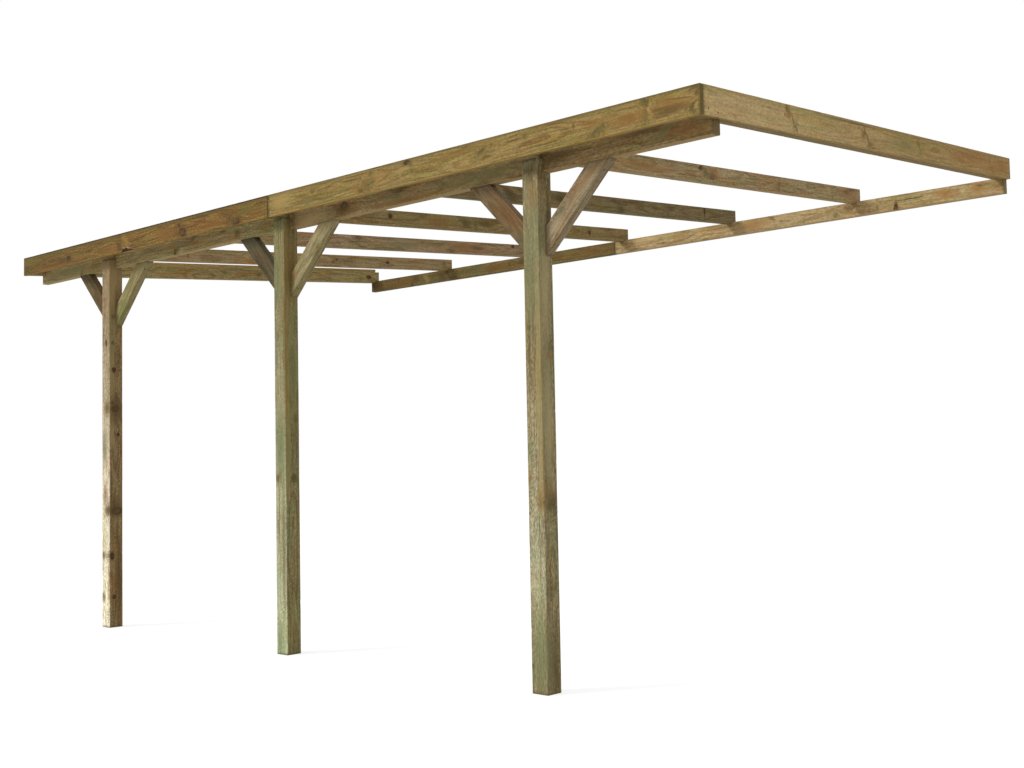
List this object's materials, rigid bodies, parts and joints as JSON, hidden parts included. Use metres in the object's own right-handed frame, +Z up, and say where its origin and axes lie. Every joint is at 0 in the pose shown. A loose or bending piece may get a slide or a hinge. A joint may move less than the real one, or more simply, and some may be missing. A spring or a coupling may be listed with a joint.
{
  "type": "wall-mounted timber carport",
  "caption": "Open lean-to carport frame of planed timber: braced square posts and front beam, sloping rafters, wall plate, fascia and verge boards; it bolts to a wall.",
  "frame": {"origin": "middle of the wall plate's back face, where the carport bolts to the wall", "axes": "+X along the wall to the right as seen from the front, +Y into the wall, +Z up"},
  "size_m": [5.5, 3.155, 2.6629],
  "materials": {
    "post": "planed and pressure impregnated pine, weathered",
    "front_beam": "planed and pressure impregnated pine, weathered",
    "brace": "planed and pressure impregnated pine, weathered",
    "rafter": "planed and pressure impregnated pine, weathered",
    "wall_plate": "planed and pressure impregnated pine",
    "fascia": "planed and pressure impregnated pine board",
    "verge_board": "planed and pressure impregnated pine board"
  },
  "bodies": {
    "root": {"post_left": "post", "post_middle": "post", "post_right": "post", "front_beam_left": "front_beam", "front_beam_right": "front_beam", "brace_left_outer": "brace", "brace_left_inner": "brace", "brace_middle_left": "brace", "brace_middle_right": "brace", "brace_right_inner": "brace", "brace_right_outer": "brace", "wall_plate_left": "wall_plate", "wall_plate_right": "wall_plate", "rafter_1": "rafter", "rafter_2": "rafter", "rafter_3": "rafter", "rafter_4": "rafter", "rafter_5": "rafter", "rafter_6": "rafter", "rafter_7": "rafter", "fascia_left": "fascia", "fascia_right": "fascia", "verge_left": "verge_board", "verge_right": "verge_board"}
  },
  "joints": []
}
